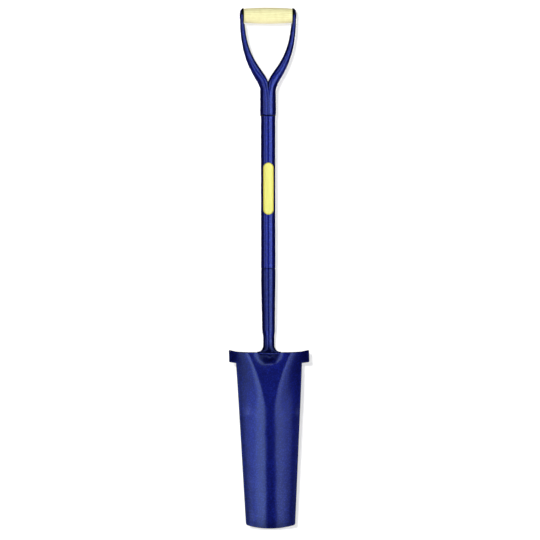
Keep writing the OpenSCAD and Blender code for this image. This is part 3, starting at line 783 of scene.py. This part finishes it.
# points of the strip: outside from lip to lip, then back along the inside, flattened at the seam plane
def makeArm(name, node, mirror):
    s = armShape
    outer, inner, deep, opening, hollow = armStations()
    wideOpen = opening[:, None]
    lip = np.linspace(0, 1, 7)[:-1]
    span = np.concatenate([
        -wideOpen + s["lipAngle"] * lip,
        (wideOpen - s["lipAngle"]) * np.linspace(-1, 1, 45),
        wideOpen - s["lipAngle"] * lip[::-1]], 1)
    sink = s["lip"] * (1 - quarterRound(np.minimum(span + wideOpen, wideOpen - span) / s["lipAngle"]))
    # the lower rim is turned in a little
    rim = s["rimIn"] * np.exp(-np.maximum(0, outer[:, 1] - collarZ) / s["rimReach"])
    angle = np.radians(np.concatenate([span, span[:, ::-1]], 1))
    depth = np.concatenate([sink + rim[:, None], np.full(span.shape, s["sheet"])], 1)
    share = np.concatenate([np.ones(span.shape), hollow[:, None] + 0 * span], 1)
    line = outer - inner
    width = np.linalg.norm(line, axis=1)
    across = line / width[:, None]
    halfSpan = width / (1 - np.cos(np.radians(opening)))
    middle = outer - across * halfSpan[:, None]
    run = (halfSpan[:, None] - depth) * share * np.cos(angle)
    flat = middle[:, None, :] + across[:, None, :] * run[..., None]
    x, z = np.maximum(s["seam"], flat[..., 0]), flat[..., 1]
    y = shaftY + (deep[:, None] - depth) * share * np.sin(angle)
    points = columns(-x if mirror else x, y, z)

    # painted shade inside the eye and along the inner lips
    fromLips = run - (halfSpan * np.cos(np.radians(opening)))[:, None]
    inEye = (ease((z - gripZ - s["eyeDarkFrom"]) / s["eyeDarkRise"])
             * (1 - ease((x - eyeIn - s["eyeDarkDeep"]) / s["eyeDarkSoft"])))
    atLips = (s["thinLips"] * (1 - ease((fromLips - s["thinLipsFrom"]) / s["thinLipsReach"]))
              * ease((z - forkZ) / s["thinLipsRise"]))
    count = points.shape[1]
    faces = gridQuads(len(points), count).tolist()
    # ends: quads across the sheet from outside to inside
    m = np.arange(count // 2 - 1)
    end = columns(m, m + 1, count - 2 - m, count - 1 - m)
    faces += end.tolist() + (end + (len(points) - 1) * count).tolist()
    makePiece(name, points, faces, armPaint, "tool", [node], sharp=46,
              values={"paintedShade": np.maximum(inEye, atLips)})


makeArm("yokeArmLeft", "arm_left", True)
makeArm("yokeArmRight", "arm_right", False)

seamShape = {
    "half": 0.95, "sunk": 0.75, "under": 0.1, "waver": 0.32, "crest": 0.10, "pitch": 2.1,
    "climb": 19.0, "fall": 9.0,  # how far it climbs into the crotch, and how far back it leans there
    "stations": 150, "steps": 14,
}


# weld in the seam, front and back: a flattened tube that wavers from side to side and ripples
def makeSeamWeld():
    s = seamShape
    z = np.linspace(collarZ + 0.6, forkZ + s["climb"], s["stations"])[:, None]
    over = np.maximum(0, z - forkZ) / s["climb"]
    a = roundSteps(s["steps"])
    end = np.sqrt(np.clip(1 - (2 * (z - z.min()) / (z.max() - z.min()) - 1) ** 12, 0.02, 1))
    crest = s["crest"] * np.abs(np.sin(math.pi * z / s["pitch"])) * end
    y = (place["sleeveRadius"] - s["sunk"] / 2 - s["under"] - s["fall"] * over
         + (s["sunk"] / 2 + crest) * np.sin(a) * end)
    points, faces = [], []
    for k, side in enumerate((-1, 1)):
        half = s["half"] * end * (1 + 0.2 * uneven(z, z, 9.0, k + 0.5))
        x = s["waver"] * uneven(z, z * 0.4, 17.0, k * 2.0) + half * np.cos(a)
        points.append(columns(x, shaftY + side * y, z))
        faces += loftFaces(s["stations"], s["steps"], k * s["stations"] * s["steps"])
    makePiece("seamWeldBead", np.concatenate(points), faces, weldPaint, "tool",
              ["seam_weld"])


makeSeamWeld()

collarShape = {
    "height": 3.0, "proud": 0.2, "gap": 0.1, "offTube": 0.02, "lumps": 0.16, "waver": 0.5, "steps": 240,
}


# fillet round the rim: a closed section turned about the shaft, its foot and crown wavering with the angle
def makeCollarWeld():
    s = collarShape
    a = roundSteps(s["steps"])[None, :]
    crown = place["sleeveRadius"] + s["proud"] + s["lumps"] * uneven(a * 4, a * 1.1, 1.9, 0.7)
    footZ = -s["height"] + s["waver"] * uneven(a * 3, a * 0.7, 2.1, 2.4)
    r = place["shaftRadius"]
    t = np.linspace(0, 1, 15)[:, None]
    # foot to crown is a quarter of a soft arc, then the section closes along the rim and the tube
    bead = r + s["offTube"] + (crown - r) * np.sin(t * math.pi / 2) ** 0.9
    beadZ = footZ * (1 - t) ** 1.2 - s["height"] / 4 * t
    crest = np.linspace(0, 1, 6)[1:, None]
    over = crown - (crown - place["sleeveRadius"] + 0.35) * crest ** 2
    overZ = -s["height"] / 4 * (1 - crest)
    radius = np.concatenate([bead, over, r + s["offTube"] + 0 * a], 0)
    height = np.concatenate([beadZ + 0 * a, overZ + 0 * a, 0 * a], 0)
    points, faces = closedTurn(columns(
        radius * np.cos(a), shaftY + radius * np.sin(a), collarZ - s["gap"] + height))
    # its paint is darkened as painted shade under the rim
    makePiece("collarWeldRing", points, faces, shadedGroovePaint, "tool", ["collar_weld"])


makeCollarWeld()

gripShape = {"middle": 17.3, "end": 15.2, "chamfer": 1.2, "hole": 4.08, "holeEdge": 0.5, "steps": 128}


# the barrel: one long arc turned about the grip's line, with rounded ends and the bore for the rivet
def makeGrip():
    s = gripShape
    half = place["gripLength"] / 2
    swell = s["middle"] - s["end"]
    arc = (half * half + swell * swell) / (2 * swell)
    x = np.linspace(-half + s["chamfer"], half - s["chamfer"], 90)
    r = s["middle"] - arc + np.sqrt(arc * arc - x * x)
    q = np.linspace(0, math.pi / 2, 9)
    end = columns(half - s["chamfer"] * (1 - np.sin(q)), r[-1] - s["chamfer"] * (1 - np.cos(q)))
    mouth = np.array([[half, s["hole"] + s["holeEdge"]], [half - s["holeEdge"], s["hole"]]])
    mirrored = np.array([-1, 1])
    profile = np.concatenate([
        end[::-1] * mirrored, columns(x, r)[1:-1], end, mouth, mouth[::-1] * mirrored])
    points, faces = closedTurn(turnedAcross(profile, s["steps"]))
    makePiece("gripBarrel", points, faces, paleWood, "grip_barrel", ["grip"])


makeGrip()

rivetShape = {"radius": 4.0, "headRadius": 7.0, "headHeight": 0.8, "headRound": 0.97, "steps": 64}


# the rivet: a rod along the grip's line with a low dome on each end
def makeRivet():
    s = rivetShape
    q = np.linspace(0.04, 1, 14)
    domeX = eyeOut + s["headHeight"] * np.sqrt(1 - (q * s["headRound"]) ** 2)
    head = columns(domeX, s["headRadius"] * q)
    right = np.concatenate([head, [[eyeOut, s["headRadius"]], [eyeOut, s["radius"]]]])
    rod = columns(np.linspace(eyeOut - 1, -eyeOut + 1, 12), s["radius"])
    points = turnedAcross(np.concatenate([right, rod, right[::-1] * [-1, 1]]), s["steps"])
    makePiece("gripRivet", points, loftFaces(len(points), s["steps"]), bluePaint, "tool",
              ["grip_rivet"])


makeRivet()

labelShape = {"width": 23.0, "height": 113.0, "drop": 103.0, "thick": 0.25, "edge": 0.3, "under": 16.05}


# the film: chord and height of a long round-ended shape wrapped on the tube, where x = r sin(turn);
# front and back meet at its edge
def makeLabel():
    s = labelShape
    bottom = collarZ - s["drop"] - s["height"]
    endRadius = s["width"] / 2
    tail = endRadius * (1 - np.cos(np.linspace(0, math.pi / 2, 40)))
    z = np.concatenate([tail, np.linspace(endRadius, s["height"] - endRadius, 60)[1:-1],
                        s["height"] - tail[::-1]])
    fromEnd = np.minimum(z, s["height"] - z)
    half = np.sqrt(np.maximum(0, endRadius ** 2 - np.maximum(0, endRadius - fromEnd) ** 2))
    x = half[:, None] * np.sin(np.linspace(-1, 1, 61) * math.pi / 2)
    z = z[:, None] + 0 * x
    spine = np.clip(z, endRadius, s["height"] - endRadius)
    fromEdge = np.maximum(0, endRadius - np.hypot(x, z - spine))
    turn = np.arcsin(np.clip(x / s["under"], -1, 1))
    raised = s["thick"] * quarterRound(fromEdge / s["edge"])
    front, back = [columns(r * np.sin(turn), shaftY - r * np.cos(turn), bottom + z).reshape(-1, 3)
                   for r in (s["under"] + raised, s["under"] + 0 * raised)]
    quads = gridQuads(*x.shape, wrap=False)
    faces = np.concatenate([quads, quads[:, ::-1] + x.size])
    makePiece("labelFilm", np.concatenate([front, back]), faces, yellowFilm, "tool",
              ["label"], values={"fromEdge": np.concatenate([fromEdge, fromEdge])})


makeLabel()

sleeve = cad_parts["joint_spigot"]
sleeve.data.materials.clear()
sleeve.data.materials.append(bareSteel)
print("pieces ready")

viewShape = {
    "distance": 30.0, "perPixel": 2.160, "pixels": 540,
    "turn": -3.1, "roll": -0.07,  # degrees
    "right": 3.84, "middleZ": 557.2,
}


# camera far back and a few degrees to the left, which sets the tip of the leaning blade right of the shaft
def makeCamera():
    v = viewShape
    camera = bpy.data.cameras.new("squareOn")
    camera.sensor_width = 36.0
    camera.lens = camera.sensor_width * v["distance"] / (v["perPixel"] * v["pixels"] * mm)
    camera.clip_end = 100.0
    eye = addObject("squareOn", camera)
    eye.matrix_world = (
        Matrix.Translation((0, shaftY * mm, v["middleZ"] * mm))
        @ Matrix.Rotation(math.radians(v["turn"]), 4, "Z")
        @ Matrix.Translation((v["right"] * mm, -v["distance"], 0))
        @ Matrix.Rotation(math.pi / 2, 4, "X")
        @ Matrix.Rotation(math.radians(v["roll"]), 4, "Z"))
    bpy.context.scene.camera = eye


makeCamera()

stageLook = {
    "paper": (0.9, 0.9, 0.9, 1.0), "catch": 0.42,  # share of the paper that takes light and shadow
    "wallBehind": 6.0, "wallBend": 450.0, "wallFoot": 12.0,  # millimetres
    "wallHalf": 3.0, "wallTurn": -2.0, "floorHalf": 30.0,
    "floorZ": -0.027,  # the spade hangs, just clear of the floor
}
white = (1.0, 1.0, 1.0, 1.0)


# pale sheet: mostly its own white to the eye, the rest lit paper that takes the shadow
def makePaper(name, oneSided):
    material, tree = newMaterial(name)[:2]
    tree.nodes.clear()
    path = newNode(tree, "ShaderNodeLightPath")
    seen = maths(tree, "MAXIMUM", path.outputs["Is Camera Ray"], path.outputs["Is Glossy Ray"])
    through = maths(tree, "MAXIMUM", seen, path.outputs["Is Transmission Ray"])
    share = maths(tree, "MULTIPLY", through, 1 - stageLook["catch"])
    glow = newNode(tree, "ShaderNodeEmission", {"Color": white, "Strength": 1.0})
    paper = newNode(tree, "ShaderNodeBsdfDiffuse", {"Color": stageLook["paper"]})
    sheet = newNode(tree, "ShaderNodeMixShader", {"Fac": share, 1: paper.outputs[0], 2: glow.outputs[0]})
    if oneSided:
        side = newNode(tree, "ShaderNodeNewGeometry")
        clear = newNode(tree, "ShaderNodeBsdfTransparent")
        sheet = newNode(tree, "ShaderNodeMixShader", {
            "Fac": side.outputs["Backfacing"], 1: sheet.outputs[0], 2: clear.outputs[0]})
    newNode(tree, "ShaderNodeOutputMaterial", {"Surface": sheet.outputs[0]})
    return material


# a sheet is a strip between two rows of points, left and right
def makeSheet(name, half, line, material):
    mesh = bpy.data.meshes.new(name)
    count = len(line)
    points = [(-half, y, z) for y, z in line] + [(half, y, z) for y, z in line]
    mesh.from_pydata(points, [], [[k, count + k, count + k + 1, k + 1] for k in range(count - 1)])
    mesh.materials.append(material)
    sheet = addObject(name, mesh)
    sheet.visible_glossy = False
    sheet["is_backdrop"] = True
    return sheet


# the backdrop stands close behind the shaft and leans in behind the blade, so that the shadow stays narrow
floorZ, floorHalf = stageLook["floorZ"], stageLook["floorHalf"]
floorSheet = makeSheet("paleFloor", floorHalf, [(-floorHalf, floorZ), (floorHalf, floorZ)],
                       makePaper("paleFloorPaper", False))
wallY = (shaftY + place["shaftRadius"] + stageLook["wallBehind"]) * mm
wallLine = [(stageLook["wallFoot"] * mm, floorZ), (wallY, stageLook["wallBend"] * mm),
            (wallY, stageLook["wallHalf"])]
wallSheet = makeSheet("paleBackdrop", stageLook["wallHalf"], wallLine, makePaper("paleBackdropPaper", True))
wallSheet.rotation_euler.z = math.radians(stageLook["wallTurn"])
wallSheet.visible_shadow = False
wallSheet.visible_diffuse = False

studio = {
    # level of the world for diffuse rays, for gloss and for the patch low to the rear, and where those lie
    "diffuse": 0.23, "gloss": 0.02, "floor": 0.8,
    "straightBehind": (0.975, 0.99), "lowDown": (-0.2, -0.7), "toTheRear": (-0.05, 0.4),
    "middleZ": 0.56,  # what the softboxes face
    "cool": (0.77, 1.0, 1.05), "plate": (0.755, 1.06, 0.735), "side": (0.77, 1.03, 0.865),
    "warm": (1.0, 0.985, 0.96),
}


# world: white to the eye and in mirrors straight behind and low to the rear, a dim even studio for the rest
def makeWorld():
    s = studio
    world = bpy.data.worlds.new("studio")
    bpy.context.scene.world = world
    world.use_nodes = True
    tree = world.node_tree
    tree.nodes.clear()
    path = newNode(tree, "ShaderNodeLightPath")
    way = newNode(tree, "ShaderNodeTexCoord").outputs["Generated"]
    behind = newNode(tree, "ShaderNodeVectorMath", {0: way, 1: (0.0, 1.0, 0.0)}, operation="DOT_PRODUCT")
    cone = spread(tree, behind.outputs["Value"], *s["straightBehind"])
    parts = newNode(tree, "ShaderNodeSeparateXYZ", {0: way})
    below = spread(tree, parts.outputs["Z"], *s["lowDown"], 0.0, s["floor"], "SMOOTHSTEP")
    rear = spread(tree, parts.outputs["Y"], *s["toTheRear"], kind="SMOOTHSTEP")
    patch = maths(tree, "MULTIPLY", below, rear)
    either = maths(tree, "MAXIMUM", cone, patch)
    mirrorOrGlass = maths(tree, "MAXIMUM", path.outputs["Is Glossy Ray"],
                          path.outputs["Is Transmission Ray"])
    shown = maths(tree, "MULTIPLY", mirrorOrGlass, either)
    bright = maths(tree, "MAXIMUM", path.outputs["Is Camera Ray"], shown)
    fill = newNode(tree, "ShaderNodeMath", operation="MULTIPLY_ADD", inputs={
        0: path.outputs["Is Diffuse Ray"], 1: s["diffuse"] - s["gloss"], 2: s["gloss"]})
    level = maths(tree, "MAXIMUM", bright, fill.outputs[0])
    light = newNode(tree, "ShaderNodeBackground", {"Color": white, "Strength": level})
    newNode(tree, "ShaderNodeOutputWorld", {"Surface": light.outputs[0]})


makeWorld()

# softboxes: degrees right of straight front, degrees up, distance, width and height in metres, watts, tint;
# the two low ones stand in for the floor's bounce, as gloss on the paint alone
softboxes = {
    "rightNear": (26, 6, 2.0, 0.78, 2.6, 12.7, "plate"),
    "rightFar": (50, 6, 2.0, 0.9, 2.6, 4.7, "plate"),
    "leftNear": (-23, 6, 2.0, 0.55, 2.6, 6.9, "side"),
    "leftFar": (-38, 6, 2.0, 0.5, 2.6, 3.0, "side"),
    "leftEdge": (-62, 2, 5.0, 1.2, 0.9, 6.5, "cool"),
    "overhead": (5, 46, 2.2, 0.8, 0.3, 1.6, "cool"),
    "rightEdge": (49, 2, 5.0, 1.2, 0.9, 8.6, "cool"),
    "front": (0, 24, 3.0, 1.6, 1.4, 2.6, "warm"),
    "above": (0, 74, 2.2, 1.6, 1.0, 10.6, "warm"),
    "behindLeft": (195, 10, 2.6, 0.5, 2.6, 28, "warm"),
    "behindRight": (164, 10, 2.6, 0.5, 2.6, 22, "warm"),
    "lowLeft": (-35, -40, 2.0, 0.7, 1.1, 6.0, "cool"),
    "lowRight": (62, -40, 2.0, 0.7, 1.1, 6.0, "cool"),
}
notInMirrors = ("front", "above")
notPainted = ("gripBarrel", "labelFilm")

# the drop shadows on backdrop and floor have a sun each, which lights only that sheet
shadowLook = {
    "wall": {"turn": -16, "rise": 14, "softness": 9.0, "strength": 4.2},
    "floor": {"turn": 165, "rise": 80, "softness": 14.0, "strength": 3.4},
}


# hangs a light out from a point, by degrees right of straight front and up, and turns it to face that point
def hangLight(name, light, middle, turn, rise, far):
    a, e = math.radians(turn), math.radians(rise)
    away = Vector((math.sin(a) * math.cos(e), -math.cos(a) * math.cos(e), math.sin(e)))
    lamp = addObject(name, light)
    lamp.location = middle + away * far
    lamp.rotation_mode = "QUATERNION"
    lamp.rotation_quaternion = (-away).to_track_quat("-Z", "Y")
    return lamp


def collect(name, things):
    group = bpy.data.collections.new(name)
    for thing in things:
        group.objects.link(thing)
    return group


def makeSoftboxes():
    middle = Vector((0, shaftY * mm, studio["middleZ"]))
    tool = collect("toolOnly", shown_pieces())
    painted = collect("paintOnly", [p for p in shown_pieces() if p.name not in notPainted])
    for name, (turn, rise, far, wide, high, power, tint) in softboxes.items():
        light = bpy.data.lights.new(name, "AREA")
        light.shape = "RECTANGLE"
        light.size, light.size_y = wide, high
        light.energy = power
        light.color = studio[tint]
        lamp = hangLight(name, light, middle, turn, rise, far)
        lamp.visible_glossy = name not in notInMirrors
        lamp.light_linking.receiver_collection = tool
        if rise < 0:
            light.diffuse_factor = 0.0
            lamp.light_linking.receiver_collection = painted
            lamp.light_linking.blocker_collection = tool


def makeShadowSuns():
    for key, sheet in (("wall", wallSheet), ("floor", floorSheet)):
        s = shadowLook[key]
        sun = bpy.data.lights.new(key + "Lamp", "SUN")
        sun.energy = s["strength"]
        sun.angle = math.radians(s["softness"])
        lamp = hangLight(key + "Lamp", sun, Vector((0, 0, 0)), s["turn"], s["rise"], 4)
        lamp.light_linking.receiver_collection = collect(key + "Only", [sheet])


makeSoftboxes()
makeShadowSuns()

bpy.context.scene.view_settings.view_transform = "Standard"
print("stage ready")
